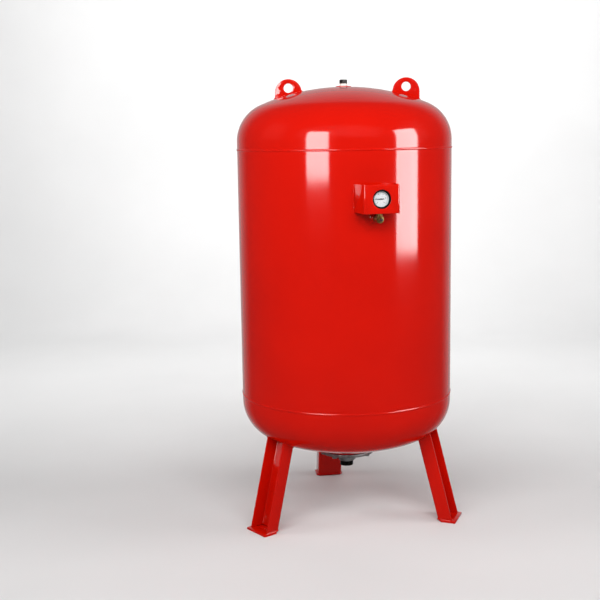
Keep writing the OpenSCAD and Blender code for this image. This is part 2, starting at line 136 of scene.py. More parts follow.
def lathe(outline, steps=96, closed=True):
    """Spins an outline of (radius, height) points about Z."""
    bm = bmesh.new()
    verts = [bm.verts.new((r, 0, z)) for r, z in outline]
    pairs = list(zip(verts, verts[1:])) + ([(verts[-1], verts[0])] if closed else [])
    edges = [bm.edges.new(pair) for pair in pairs]
    bmesh.ops.spin(bm, geom=verts + edges, cent=(0, 0, 0), axis=(0, 0, 1), dvec=(0, 0, 0),
                   angle=2 * math.pi, steps=steps, use_merge=True)
    bmesh.ops.remove_doubles(bm, verts=bm.verts, dist=1e-7)
    bmesh.ops.recalc_face_normals(bm, faces=bm.faces)
    return bm


def settle(bm, name, material, stands_for=(), body=VESSEL, crease=35):
    """Makes a bmesh a piece of the object: smooth, finished, riding on its body."""
    mesh = bpy.data.meshes.new(name)
    bm.to_mesh(mesh)
    bm.free()
    mesh.shade_smooth()
    mesh.set_sharp_from_angle(angle=math.radians(crease))
    mesh.materials.append(material)
    piece = bpy.data.objects.new(name, mesh)
    bpy.context.scene.collection.objects.link(piece)
    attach(piece, body)
    if stands_for:
        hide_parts(*stands_for)
    return piece


shell_outline = [
    (body_r, lower_seam), (body_r, upper_seam),
    (body_r - SHEET_T, upper_seam), (body_r - SHEET_T, lower_seam),
]
settle(lathe(shell_outline, ROUND_STEPS), "rolled_shell", RED, ["shell"])

# ---- Dished heads --------------------------------------------------------------------
# Two steel discs, each pressed to a shallow crown with a rounded knuckle and a straight
# skirt that is butt-welded to the shell. The upper is pierced for the boss, the lower for
# the ring.

boss_low, boss_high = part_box("top_boss")
ring_low, ring_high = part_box("neck_ring")
SKIRT_H = 0.027
DISH_H = 0.185
KNUCKLE_R = 0.137
CROWN_STEPS, KNUCKLE_STEPS = 28, 24
boss_r = (boss_high.y - boss_low.y) / 2
ring_r = (ring_high.y - ring_low.y) / 2
upper_dish_z = upper_seam + SKIRT_H
lower_dish_z = lower_seam - SKIRT_H


def crown_of(r, h, k):
    """Radius of a dish's crown, and its angle from the axis where the knuckle starts."""
    crown = ((r - k) ** 2 + h * h - k * k) / (2 * (h - k))
    return crown, math.asin((r - k) / (crown - k))


def dish_height(at, r=body_r, h=DISH_H, k=KNUCKLE_R):
    """Height of a dish's face above its rim, at a distance from the axis."""
    crown, meet = crown_of(r, h, k)
    if at < crown * math.sin(meet):
        return h - crown + math.sqrt(crown ** 2 - at ** 2)
    return math.sqrt(max(0.0, k ** 2 - (at - r + k) ** 2))


def dish_arc(hole_r, r, h, k):
    """Outline of a dish from the edge of its hole out to its rim."""
    crown, meet = crown_of(r, h, k)
    start = math.asin(hole_r / crown)
    turns = [start + (meet - start) * i / CROWN_STEPS for i in range(CROWN_STEPS)]
    points = [(crown * math.sin(a), h - crown + crown * math.cos(a)) for a in turns]
    rest = math.pi / 2 - meet
    turns = [rest - rest * i / KNUCKLE_STEPS for i in range(KNUCKLE_STEPS + 1)]
    return points + [(r - k + k * math.cos(a), k * math.sin(a)) for a in turns]


def head_outline(hole_r, base_z, up):
    """Outline of a head, from the hole's edge out to the skirt and back inside."""
    points = []
    for inset, order in ((0, 1), (SHEET_T, -1)):
        arc = dish_arc(hole_r, body_r - inset, DISH_H - inset, KNUCKLE_R - inset)
        points += (arc + [(body_r - inset, -SKIRT_H)])[::order]
    return [(r, base_z + up * z) for r, z in points]


for name, hole_r, base_z, up in (("upper", boss_r, upper_dish_z, 1),
                                 ("lower", ring_r, lower_dish_z, -1)):
    head = lathe(head_outline(hole_r, base_z, up), ROUND_STEPS)
    settle(head, f"{name}_dished_head", RED, [f"{name}_head"])

# ---- Weld seams of the shell ---------------------------------------------------------
# Submerged-arc beads: low and even, with a fine ripple where each bit of metal froze.
# The round seams join the heads, and the straight one closes the rolled sheet.

BEAD_R = 0.005
BEAD_SUNK = 0.0032
RIPPLE = 0.006
RIPPLE_STEPS = 4
RIPPLE_DEPTH = 0.18
RIPPLE_LAG = 0.9


def bead_outline(r, z, size, sunk, points=8):
    """Cap of a round bead that stands out of a wall of radius r."""
    half = math.acos(sunk / size)
    arc = [half * (2 * i / points - 1) for i in range(points + 1)]
    return [(r - sunk + size * math.cos(a), z + size * math.sin(a)) for a in arc]


def round_seam(name, z, node):
    """A round bead at a height, with ripples that lag towards its edges."""
    ripples = round(2 * math.pi * body_r / RIPPLE)
    bm = lathe(bead_outline(body_r, z, BEAD_R, BEAD_SUNK), ripples * RIPPLE_STEPS)
    for v in bm.verts:
        proud = math.hypot(v.co.x, v.co.y) - body_r
        turn = math.atan2(v.co.y, v.co.x) + RIPPLE_LAG * abs(v.co.z - z) / body_r
        v.co.xy *= 1 - RIPPLE_DEPTH * proud / body_r * (1 + math.cos(turn * ripples))
    settle(bm, name, RED, [node], crease=60)


round_seam("upper_round_seam", upper_seam, "upper_weld_bead")
round_seam("lower_round_seam", lower_seam, "lower_weld_bead")


def weld(name, path, size, stands_for=(), closed=False):
    """A rippled bead of paint-covered weld metal along a path of points."""
    run = bpy.data.curves.new(name, "CURVE")
    run.dimensions = "3D"
    run.bevel_depth = size
    run.bevel_resolution = 2
    run.use_fill_caps = True
    dense = []
    ends = list(zip(path, path[1:])) + ([(path[-1], path[0])] if closed else [])
    for a, b in ends:
        count = max(1, round((Vector(b) - Vector(a)).length / (RIPPLE / RIPPLE_STEPS)))
        dense += [Vector(a).lerp(Vector(b), i / count) for i in range(count)]
    if not closed:
        dense.append(Vector(path[-1]))
    spline = run.splines.new("POLY")
    spline.points.add(len(dense) - 1)
    spline.use_cyclic_u = closed
    for i, (point, place) in enumerate(zip(spline.points, dense)):
        point.co = (*place, 1)
        point.radius = 0.9 + 0.1 * math.cos(i * 2 * math.pi / RIPPLE_STEPS)
    lump = bpy.data.objects.new(name + "_run", run)
    bpy.context.scene.collection.objects.link(lump)
    bpy.context.view_layer.update()
    bm = bmesh.new()
    bm.from_mesh(lump.evaluated_get(bpy.context.evaluated_depsgraph_get()).to_mesh())
    bpy.data.objects.remove(lump)
    bmesh.ops.remove_doubles(bm, verts=bm.verts, dist=1e-7)
    bmesh.ops.recalc_face_normals(bm, faces=bm.faces)
    return settle(bm, name, RED, stands_for, crease=60)


SEAM_R = 0.0032
SEAM_SUNK = 0.0015
seam_low, seam_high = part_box("shell_weld_bead")
seam_az = math.atan2(seam_low.y + seam_high.y, seam_low.x + seam_high.x)
seam_foot = (body_r - SEAM_SUNK) * Vector((math.cos(seam_az), math.sin(seam_az), 0))
weld("straight_seam", [seam_foot + Vector((0, 0, z)) for z in (seam_low.z, seam_high.z)], SEAM_R,
     ["shell_weld_bead"])

# ---- Legs ----------------------------------------------------------------------------
# Three channels folded from 5 mm plate, web inwards, leaning out. Each is cut to the
# head's curve and fillet-welded to it, and stands on a flat plate with an anchor hole.

LEG_W, LEG_D, LEG_T = 0.094, 0.050, 0.005
LEG_LEAN = math.radians(14.5)
LEG_R = 0.382
LEG_TURN = -4
LEG_LONGEST = 0.45
BEND_R = 0.009
LEG_WELD_R, FOOT_WELD_R = 0.0035, 0.0028
foot_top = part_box("foot_plate_back")[1].z


def bend(x, y, r, start, steps=5):
    """Quarter turn about (x, y), from an angle in degrees."""
    turns = [math.radians(start + 90 * i / steps) for i in range(steps + 1)]
    return [(x + r * math.cos(a), y + r * math.sin(a)) for a in turns]


def channel_outline():
    """Outside and inside of the leg's section, each as a run of points."""
    x, y, r = LEG_D / 2, LEG_W / 2, BEND_R
    outer = [(x, y)] + bend(-x + r, y - r, r, 90) + bend(-x + r, -y + r, r, 180) + [(x, -y)]
    t, inner_r = LEG_T, BEND_R - LEG_T
    inner = [(x, y - t)] + bend(-x + r, y - r, inner_r, 90)
    inner += bend(-x + r, -y + r, inner_r, 180) + [(x, -y + t)]
    return outer, inner[::-1]


def leg_line(u, v):
    """Foot and top of the line through one point of the leg's section."""
    s, c = math.sin(LEG_LEAN), math.cos(LEG_LEAN)
    start = Vector((LEG_R + u * c, v, u * s))
    way = Vector((-s, 0, c))
    foot = start + way * ((foot_top - start.z) / c)
    below, inside = 0.0, LEG_LONGEST
    for _ in range(30):
        middle = (below + inside) / 2
        spot = start + way * middle
        reach = math.hypot(spot.x, spot.y)
        if reach < body_r and spot.z > lower_dish_z - dish_height(reach):
            inside = middle
        else:
            below = middle
    return foot, start + way * below


def ease_rims(bm, width, segments, sharp):
    """Rounds every edge that turns by more than an angle in degrees."""
    rims = [e for e in bm.edges if e.calc_face_angle(0) > math.radians(sharp)]
    bmesh.ops.bevel(bm, geom=rims, offset=width, offset_type="OFFSET", segments=segments,
                    profile=0.5, affect="EDGES", material=-1, clamp_overlap=True)


def eased(node, width, segments=2):
    """A copy of a CAD node's mesh with its sharp edges rounded."""
    bm = bmesh.new()
    bm.from_mesh(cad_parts[node].data)
    bmesh.ops.remove_doubles(bm, verts=bm.verts, dist=1e-6)
    bmesh.ops.dissolve_limit(bm, angle_limit=math.radians(0.5), verts=bm.verts, edges=bm.edges)
    ease_rims(bm, width, segments, 30)
    return bm


for side, azimuth in (("left", 210), ("right", 330), ("back", 90)):
    turn = Matrix.Rotation(math.radians(azimuth + LEG_TURN), 4, "Z")
    outer, inner = channel_outline()
    lines = [leg_line(u, v) for u, v in outer + inner]
    bm = bmesh.new()
    end = bm.faces.new([bm.verts.new(foot) for foot, top in lines])
    tops = bmesh.ops.extrude_face_region(bm, geom=[end], use_keep_orig=True)["geom"]
    risen = [v for v in tops if isinstance(v, bmesh.types.BMVert)]
    for v in risen:
        foot, top = min(lines, key=lambda line: (line[0] - v.co).length)
        v.co = top
    bmesh.ops.recalc_face_normals(bm, faces=bm.faces)
    ease_rims(bm, 0.0006, 2, 50)
    bmesh.ops.transform(bm, matrix=turn, verts=bm.verts)
    settle(bm, f"channel_leg_{side}", RED, [f"leg_{side}"])
    outside = lines[:len(outer)]
    weld(f"leg_weld_{side}", [turn @ top for foot, top in outside], LEG_WELD_R)
    weld(f"foot_weld_{side}", [turn @ foot for foot, top in outside], FOOT_WELD_R)

for side in ("left", "right", "back"):
    pad = eased(f"foot_plate_{side}", 0.0008)
    settle(pad, f"foot_pad_{side}", RED, [f"foot_plate_{side}"])

# ---- Lifting lugs --------------------------------------------------------------------
# Two plates cut from 10 mm steel with a round top and an eye, cut to the dome and
# fillet-welded to it on both sides.

LUG_T = 0.010
LUG_W = 0.094
LUG_WELD_R = 0.0042
LUG_WELD_STEPS = 16

for side in ("left", "right"):
    low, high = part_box(f"lifting_lug_{side}")
    azimuth = math.atan2(low.y + high.y, low.x + high.x)
    out = Vector((math.cos(azimuth), math.sin(azimuth), 0))
    lug_r = (low + high).xy.length / 2
    across = Vector((-out.y, out.x, 0))
    plate = eased(f"lifting_lug_{side}", 0.0012)
    settle(plate, f"lug_plate_{side}", RED, [f"lifting_lug_{side}"])
    loop = []
    for face in (1, -1):
        for i in range(LUG_WELD_STEPS + 1):
            reach = lug_r + LUG_W * (i / LUG_WELD_STEPS - 0.5) * face
            at = out * reach + across * (face * LUG_T / 2)
            at.z = upper_dish_z + dish_height(reach)
            loop.append(at)
    weld(f"lug_weld_{side}", loop, LUG_WELD_R, closed=True)

# ---- Neck ring -----------------------------------------------------------------------
# A turned steel ring, let into the lower head and welded round. Its blind threaded holes
# take the flange's screws, so that the bladder can be changed.

RING_BORE_R = 0.060
RING_EDGE = 0.001
NECK_WELD_R = 0.0035
ring_outline = [
    (ring_r - RING_EDGE, ring_low.z), (ring_r, ring_low.z + RING_EDGE),
    (ring_r, ring_high.z - RING_EDGE), (ring_r - RING_EDGE, ring_high.z),
    (RING_BORE_R + RING_EDGE, ring_high.z), (RING_BORE_R, ring_high.z - RING_EDGE),
    (RING_BORE_R, ring_low.z + RING_EDGE), (RING_BORE_R + RING_EDGE, ring_low.z),
]
settle(lathe(ring_outline, 128), "turned_neck_ring", RED, ["neck_ring"])


def around_axis(r, z, count):
    """Points of a level circle about the vessel's axis."""
    turns = [2 * math.pi * i / count for i in range(count)]
    return [(r * math.cos(a), r * math.sin(a), z) for a in turns]


neck_path = around_axis(ring_r, lower_dish_z - dish_height(ring_r), 64)
weld("neck_weld", neck_path, NECK_WELD_R, closed=True)

# ---- Bladder and its hanger ----------------------------------------------------------
# A moulded butyl bag. Its flat collar is the flange's gasket, and shows as a black line.
# A zinc-plated plate and stud hold its top to the boss.


def butyl_rubber():
    # Moulded black rubber: matt, faintly grey, with a soft bloom and a fine grain.
    material, tree, shader, place = new_material("black_butyl_rubber", Roughness=0.62, IOR=1.52)
    tint(tree, shader, place, "#232324", "#161617", 0.05)
    uneven(tree, shader, place, [(0.0015, 0.00005, (1, 1, 1))])
    return material


def zinc_plate():
    # Bright zinc on steel: light grey metal, cloudy, softly reflective.
    material, tree, shader, place = new_material("bright_zinc_plate", Metallic=1.0)
    tint(tree, shader, place, "#c9cbcc", "#a9abad", 0.012)
    gloss_drift(tree, shader, place, 0.46, 0.62, 0.008)
    uneven(tree, shader, place, [(0.0012, 0.00003, (1, 1, 1))])
    return material


RUBBER = butyl_rubber()
ZINC = zinc_plate()
BAG_T = 0.003
BAG_NECK_R = 0.057
BAG_COLLAR_R, BAG_COLLAR_T = 0.098, 0.003
BAG_DISH = 0.160
BAG_KNUCKLE = 0.110
BAG_LOW = 0.280
BAG_HOLE_R = 0.008
bag_low, bag_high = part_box("bladder")
bag_r = (bag_high.y - bag_low.y) / 2


def bag_wall(inset):
    """Half outline of the bag, from its neck up to the hanger's hole."""
    shape = bag_r - inset, BAG_DISH - inset, BAG_KNUCKLE - inset
    lower = [(r, BAG_LOW + BAG_DISH - z) for r, z in dish_arc(BAG_NECK_R - inset, *shape)]
    upper = [(r, bag_high.z - BAG_DISH + z) for r, z in dish_arc(BAG_HOLE_R, *shape)]
    return lower + upper[::-1]


collar_top = bag_low.z + BAG_COLLAR_T
bag_outline = [
    (BAG_NECK_R - BAG_T, bag_low.z), (BAG_COLLAR_R, bag_low.z),
    (BAG_COLLAR_R, collar_top), (BAG_NECK_R, collar_top),
] + bag_wall(0) + bag_wall(BAG_T)[::-1]
settle(lathe(bag_outline, 128), "butyl_bag", RUBBER, ["bladder"])
hanger = eased("bladder_hanger", 0.0005)
settle(hanger, "hanger_plate_and_stud", ZINC, ["bladder_hanger"])

# ---- Cover flange and its screws -----------------------------------------------------
# A zinc-plated disc closes the neck. Hexagon screws with plain washers clamp it and the
# bag's collar to the ring, and each has stopped at its own angle.

BOLT_CIRCLE_R = 0.085
BOLT_COUNT = 8
BOLT_AF = 0.017
BOLT_HEAD = 0.0064
BOLT_R = 0.005
BOLT_OVERLAP = 0.001
WASHER_T = 0.002
HEX_STEPS = 72
HEX_FACE = 0.95
flange_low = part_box("cover_flange")[0]
bolts_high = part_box("flange_bolts")[1]


def hex_block(af, height):
    """Hexagon with its outer corners turned off at 30 degrees, standing on z = 0."""
    bm = bmesh.new()
    bmesh.ops.create_circle(bm, cap_ends=True, segments=HEX_STEPS, radius=1.0)
    flat = af / 2
    face_r = flat * HEX_FACE

    def corner_r(v):
        turn = math.atan2(v.co.y, v.co.x) % (math.pi / 3) - math.pi / 6
        return flat / math.cos(turn)

    for v in bm.verts:
        v.co.xy = v.co.xy.normalized() * corner_r(v)
    for level in ("side", "face"):
        top = [f for f in bm.faces if len(f.verts) == HEX_STEPS][-1]
        risen = bmesh.ops.extrude_face_region(bm, geom=[top], use_keep_orig=level == "side")
        for v in [g for g in risen["geom"] if isinstance(g, bmesh.types.BMVert)]:
            if level == "side":
                v.co.z = height - (corner_r(v) - face_r) * math.tan(math.radians(30))
            else:
                v.co.xy = v.co.xy.normalized() * face_r
                v.co.z = height
        bm.faces.ensure_lookup_table()
    bmesh.ops.remove_doubles(bm, verts=bm.verts, dist=1e-7)
    bmesh.ops.recalc_face_normals(bm, faces=bm.faces)
    return bm


def gather(parts):
    """Joins several bmeshes, each with the matrix that places it."""
    whole = bmesh.new()
    for part, place in parts:
        bmesh.ops.transform(part, matrix=place, verts=part.verts)
        mesh = bpy.data.meshes.new("part")
        part.to_mesh(mesh)
        part.free()
        whole.from_mesh(mesh)
        bpy.data.meshes.remove(mesh)
    return whole


disc = eased("cover_flange", 0.001)
settle(disc, "plated_cover_flange", ZINC, ["cover_flange"])
seat_z = flange_low.z - WASHER_T
shank_top = bolts_high.z - flange_low.z + WASHER_T
shank_outline = [(0, -BOLT_OVERLAP), (BOLT_R, -BOLT_OVERLAP), (BOLT_R, shank_top), (0, shank_top)]
head_down = Matrix.Rotation(math.pi, 4, "X")
screws = []
for i in range(BOLT_COUNT):
    hole_turn = Matrix.Rotation(2 * math.pi * i / BOLT_COUNT, 4, "Z")
    place = hole_turn @ Matrix.Translation((BOLT_CIRCLE_R, 0, seat_z))
    stopped_at = Matrix.Rotation(0.7 * i * i, 4, "Z")
    screws.append((hex_block(BOLT_AF, BOLT_HEAD), place @ stopped_at @ head_down))
    screws.append((lathe(shank_outline, 32, closed=False), place))
settle(gather(screws), "hexagon_screws", ZINC, ["flange_bolts"])
washers = eased("flange_washers", 0.0004)
settle(washers, "plain_washers", ZINC, ["flange_washers"])

# ---- Water connection ----------------------------------------------------------------
# A zinc-plated round socket welded through the flange, and a steel nipple screwed into it.
# The nipple is coloured near-black as painted shade. Its free end is a male parallel pipe thread of
# 11 turns to the inch.


def black_oxide():
    # Painted shade and painted reflection: steel coloured very dark grey with brown patches, for
    # the shadow and the dark room mirrored on the nipple's thread.
    material, tree, shader, place = new_material("painted_shade_steel", Metallic=1.0)
    tint(tree, shader, place, "#4a4b48", "#2b2a27", 0.006)
    gloss_drift(tree, shader, place, 0.28, 0.45, 0.004)
    uneven(tree, shader, place, [(0.0008, 0.00003, (1, 1, 1))])
    return material


PAINTED_SHADE_METAL = black_oxide()
THREAD_R = 0.0239
CORE_R = 0.0219
BORE_R = 0.018
SOCKET_R = 0.029
SOCKET_EDGE = 0.0015
RELIEF_H = 0.002
INCH = 0.0254
PIPE_PITCH = INCH / 11
PIPE_DEPTH = 0.00148
PIPE_CREST = 0.12
nipple_low, nipple_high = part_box("water_nipple")
water_low, water_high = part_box("water_socket")


def threaded_tube(major_r, depth, pitch, bore_r, low, high, steps=96):
    """A helical thread between two heights, closed by flat ends and a bore."""
    bm = bmesh.new()
    turns = math.ceil((high - low) / pitch) + 2
    flank = major_r - depth * PIPE_CREST
    corners = []
    for k in range(turns):
        z = low + (k - 1) * pitch
        corners += [(major_r - depth, z), (flank, z + pitch * (0.5 - PIPE_CREST)),
                    (major_r, z + pitch * 0.5), (flank, z + pitch * (0.5 + PIPE_CREST))]
    verts = [bm.verts.new((r, 0, z)) for r, z in corners]
    edges = [bm.edges.new(pair) for pair in zip(verts, verts[1:])]
    bmesh.ops.spin(bm, geom=verts + edges, cent=(0, 0, 0), axis=(0, 0, 1),
                   dvec=(0, 0, pitch / steps), angle=2 * math.pi, steps=steps)
    bmesh.ops.remove_doubles(bm, verts=bm.verts, dist=1e-6)
    for z, way in ((low, -1), (high, 1)):
        whole = bm.verts[:] + bm.edges[:] + bm.faces[:]
        bmesh.ops.bisect_plane(bm, geom=whole, plane_co=(0, 0, z), plane_no=(0, 0, way),
                               clear_outer=True)
    rims = [e for e in bm.edges if e.is_boundary]
    drawn = bmesh.ops.extrude_edge_only(bm, edges=rims)["geom"]
    for v in [g for g in drawn if isinstance(g, bmesh.types.BMVert)]:
        v.co.xy = v.co.xy.normalized() * bore_r
    bmesh.ops.remove_doubles(bm, verts=bm.verts, dist=1e-6)
    bmesh.ops.bridge_loops(bm, edges=[e for e in bm.edges if e.is_boundary])
    bmesh.ops.recalc_face_normals(bm, faces=bm.faces)
    return bm


socket_outline = [
    (CORE_R, water_low.z), (SOCKET_R - SOCKET_EDGE, water_low.z),
    (SOCKET_R, water_low.z + SOCKET_EDGE), (SOCKET_R, flange_low.z),
    (THREAD_R, flange_low.z), (THREAD_R, water_high.z),
    (BORE_R, water_high.z), (BORE_R, nipple_high.z), (CORE_R, nipple_high.z),
]
collar = lathe(socket_outline)
settle(collar, "water_socket_collar", ZINC, ["water_socket"])
thread_top = water_low.z - RELIEF_H
core_outline = [
    (BORE_R, thread_top), (CORE_R, thread_top), (CORE_R, nipple_high.z), (BORE_R, nipple_high.z),
]
thread = threaded_tube(THREAD_R, PIPE_DEPTH, PIPE_PITCH, BORE_R, nipple_low.z, thread_top)
nipple = gather([(lathe(core_outline), Matrix()), (thread, Matrix())])
# The nipple's near-black colour is painted shade on its thread.
settle(nipple, "threaded_nipple", PAINTED_SHADE_METAL, ["water_nipple"], crease=25)

# ---- Top fitting ---------------------------------------------------------------------
# A turned boss welded into the dome. The bladder's stud comes up through it, and a plain
# hexagon nut pulls it tight on a white nylon washer.


def bare_steel():
    # Uncoated steel nut, dulled by a thin brown-grey oxide.
    material, tree, shader, place = new_material("dull_bare_steel", Metallic=1.0)
    tint(tree, shader, place, "#7c7c7a", "#4d4c49", 0.006)
    gloss_drift(tree, shader, place, 0.3, 0.5, 0.004)
    uneven(tree, shader, place, [(0.0008, 0.00003, (1, 1, 1))])
    return material


def white_nylon():
    # Natural nylon: milky and satin, and light shows a little way into it.
    material, tree, shader, place = new_material("natural_nylon", Roughness=0.42, IOR=1.53,
                                                 Subsurface_Weight=0.15)
    shader.inputs["Subsurface Radius"].default_value = (0.002, 0.0018, 0.0015)
    tint(tree, shader, place, "#f1efe9", "#e4e1d8", 0.01)
    return material


BARE_STEEL = bare_steel()
NYLON = white_nylon()
STUD_R = 0.008
BOSS_EDGE = 0.0015
BOSS_WELD_R = 0.0025
SEAL_EDGE = 0.0007
NUT_AF = 0.024
seal_low, seal_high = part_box("hanger_seal")
seal_r = (seal_high.y - seal_low.y) / 2
nut_low, nut_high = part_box("hanger_nut")


def stud_collar(r, low, high, edge):
    """Outline of a disc that fits round the stud, with its outer edges broken."""
    return [
        (STUD_R, low), (r - edge, low), (r, low + edge),
        (r, high - edge), (r - edge, high), (STUD_R, high),
    ]


boss_outline = stud_collar(boss_r, boss_low.z, boss_high.z, BOSS_EDGE)
settle(lathe(boss_outline), "turned_boss", RED, ["top_boss"])
boss_path = around_axis(boss_r, upper_dish_z + dish_height(boss_r), 48)
weld("boss_weld", boss_path, BOSS_WELD_R, closed=True)
seal_outline = stud_collar(seal_r, seal_low.z, seal_high.z, SEAL_EDGE)
settle(lathe(seal_outline, 64), "nylon_washer", NYLON, ["hanger_seal"])
nut = hex_block(NUT_AF, nut_high.z - nut_low.z)
bmesh.ops.translate(nut, vec=(0, 0, nut_low.z), verts=nut.verts)
settle(nut, "hexagon_nut", BARE_STEEL, ["hanger_nut"])

# ---- Brass tee and charging valve ----------------------------------------------------
# A turned brass tee screwed into a steel socket on the shell: the gauge stands on its
# branch, and the valve for the gas cushion faces forward under a knurled black cap.


def turned_brass():
    # Turned brass: warm yellow metal with fine tool rings and real tarnish in patches, darkened
    # overall as painted shade for the guard's shadow over the tee.
    material, tree, shader, place = new_material("turned_brass", Metallic=1.0)
    tint(tree, shader, place, "#b79b62", "#86693a", 0.009)
    gloss_drift(tree, shader, place, 0.26, 0.44, 0.006)
    uneven(tree, shader, place, [(0.0012, 0.00003, (0.2, 3, 0.2))])
    return material


def cap_plastic():
    # Moulded black nylon: satin, nearly even.
    material, tree, shader, place = new_material("moulded_black_nylon", Roughness=0.45, IOR=1.5)
    tint(tree, shader, place, "#252527", "#1b1b1c", 0.004)
    uneven(tree, shader, place, [(0.0004, 0.00001, (1, 1, 1))])
    return material


def soft_copper():
    # Crushed copper washer, darkened by air.
    material, tree, shader, place = new_material("soft_copper", Metallic=1.0)
    tint(tree, shader, place, "#c07a52", "#8a4f33", 0.004)
    gloss_drift(tree, shader, place, 0.3, 0.5, 0.004)
    return material


# The brass is coloured darker than bare brass: painted shade.
SHADE_DARKENED_BRASS = turned_brass()
CAP = cap_plastic()
COPPER = soft_copper()
settle(eased("gauge_socket", 0.001), "welded_socket", RED, ["gauge_socket"])
settle(eased("valve_tee", 0.0008), "brass_tee", SHADE_DARKENED_BRASS, ["valve_tee"])
settle(eased("valve_body", 0.0003), "valve_stem", SHADE_DARKENED_BRASS, ["valve_body"])
settle(eased("valve_core", 0.0002), "valve_insert", SHADE_DARKENED_BRASS, ["valve_core"])
plunger = eased("valve_pin", 0.0002)
settle(plunger, "valve_plunger", ZINC, ["valve_pin"], body="valve_pin")
cap_washer = eased("cap_seal", 0.00015)
settle(cap_washer, "cap_washer", RUBBER, ["cap_seal"], body="cap_seal")
settle(eased("stem_washer", 0.0003), "copper_washer", COPPER, ["stem_washer"])

CAP_BORE_R = 0.00395
CAP_END_T = 0.0012
CAP_EDGE = 0.0004
CAP_DOME = 0.0012
KNURLS = 24
KNURL_DEPTH = 0.045
cap_low, cap_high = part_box("valve_cap")
cap_r = (cap_high.z - cap_low.z) / 2
cap_len = cap_high.y - cap_low.y
valve_z = (cap_high.z + cap_low.z) / 2
cap_outline = [
    (0, cap_len), (cap_r * 0.8, cap_len), (cap_r * 0.93, cap_len - CAP_EDGE),
    (cap_r, cap_len - CAP_DOME), (cap_r, CAP_EDGE), (cap_r - CAP_EDGE, 0),
    (CAP_BORE_R, 0), (CAP_BORE_R, cap_len - CAP_END_T), (0, cap_len - CAP_END_T),
]
knurled = lathe(cap_outline, KNURLS * 6, closed=False)
for v in knurled.verts:
    if math.hypot(v.co.x, v.co.y) > cap_r * 0.97 and v.co.z > 0.0003:
        turn = math.atan2(v.co.y, v.co.x)
        v.co.xy *= 1 - KNURL_DEPTH * (1 + math.cos(turn * KNURLS)) / 2
facing = Matrix.Translation((0, cap_high.y, valve_z)) @ Matrix.Rotation(math.pi / 2, 4, "X")
bmesh.ops.transform(knurled, matrix=facing, verts=knurled.verts)
settle(knurled, "knurled_cap", CAP, ["valve_cap"], body="valve_cap", crease=40)

SOCKET_WELD_R = 0.0025
socket_low, socket_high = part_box("gauge_socket")
socket_r = (socket_high.z - socket_low.z) / 2
socket_path = [
    (x, -math.sqrt(body_r ** 2 - x ** 2), valve_z + y) for x, y, z in around_axis(socket_r, 0, 48)
]
weld("socket_weld", socket_path, SOCKET_WELD_R, closed=True)

# ---- Gauge guard ---------------------------------------------------------------------
# 2.5 mm sheet folded round the gauge, tacked to the shell at its four corners and
# painted with it. The gauge is read through a round window.

guard_low, guard_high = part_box("gauge_guard")
settle(eased("gauge_guard", 0.0005), "folded_guard", RED, ["gauge_guard"])
GUARD_FOOT_X = 0.0665
TACK_L, TACK_R = 0.022, 0.0028
foot_y = -math.sqrt(body_r ** 2 - GUARD_FOOT_X ** 2)
top_tack = guard_high.z - TACK_L - 0.002
bottom_tack = guard_low.z + 0.016
for name, x in (("left", -GUARD_FOOT_X), ("right", GUARD_FOOT_X)):
    for end, z in (("top", top_tack), ("bottom", bottom_tack)):
        weld(f"guard_tack_{name}_{end}", [(x, foot_y, z), (x, foot_y, z + TACK_L)], TACK_R)

# ---- Pressure gauge ------------------------------------------------------------------
# A 63 mm gauge: black lacquered steel case and crimped bezel, a flat glass, a white
# printed dial with a scale to 10 bar, and a black pointer on the movement's arbor.


def black_lacquer():
    # Stoved black lacquer on pressed steel: glossy, with a faint texture.
    material, tree, shader, place = new_material("black_gloss_lacquer", Roughness=0.26, IOR=1.5)
    tint(tree, shader, place, "#1a1a1b", "#121213", 0.02)
    uneven(tree, shader, place, [(0.003, 0.00003, (1, 1, 1))])
    return material


def dial_white():
    # Stoved white lacquer on the dial plate: satin, very slightly cool.
    material, tree, shader, place = new_material("white_dial_lacquer", Roughness=0.5, IOR=1.5)
    tint(tree, shader, place, "#f3f5f7", "#eceff2", 0.02)
    return material


def dial_ink():
    # Screen-printed black ink: flat and matt.
    material, tree, shader, place = new_material("black_printing_ink", Roughness=0.55, IOR=1.5)
    tint(tree, shader, place, "#1d1e20", "#141416", 0.004)
    return material


def clear_glass():
    # Thin flat instrument glass: lets nearly all light through and mirrors a little.
    material, tree, shader, place = new_material("clear_instrument_glass", Metallic=1.0, Alpha=0.08)
    tint(tree, shader, place, "#ffffff", "#f2f6f8", 0.03)
    gloss_drift(tree, shader, place, 0.01, 0.04, 0.02)
    return material


LACQUER = black_lacquer()
DIAL = dial_white()
INK = dial_ink()
GLASS = clear_glass()
case_low, case_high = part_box("gauge_case")
bezel_low, bezel_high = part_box("gauge_bezel")
lens_low, lens_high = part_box("gauge_lens")
dial_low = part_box("gauge_dial")[0]
gauge_z = (bezel_low.z + bezel_high.z) / 2
case_r = (case_high.z - case_low.z) / 2
bezel_r = (bezel_high.z - bezel_low.z) / 2
BEZEL_LIP_R = 0.0245
to_front = Matrix.Translation((0, 0, gauge_z)) @ Matrix.Rotation(math.pi / 2, 4, "X")


def gauge_turned(outline, closed=True):
    """Spins an outline about the gauge's axis; its heights run out from the vessel's axis."""
    bm = lathe(outline, closed=closed)
    bmesh.ops.transform(bm, matrix=to_front, verts=bm.verts)
    return bm


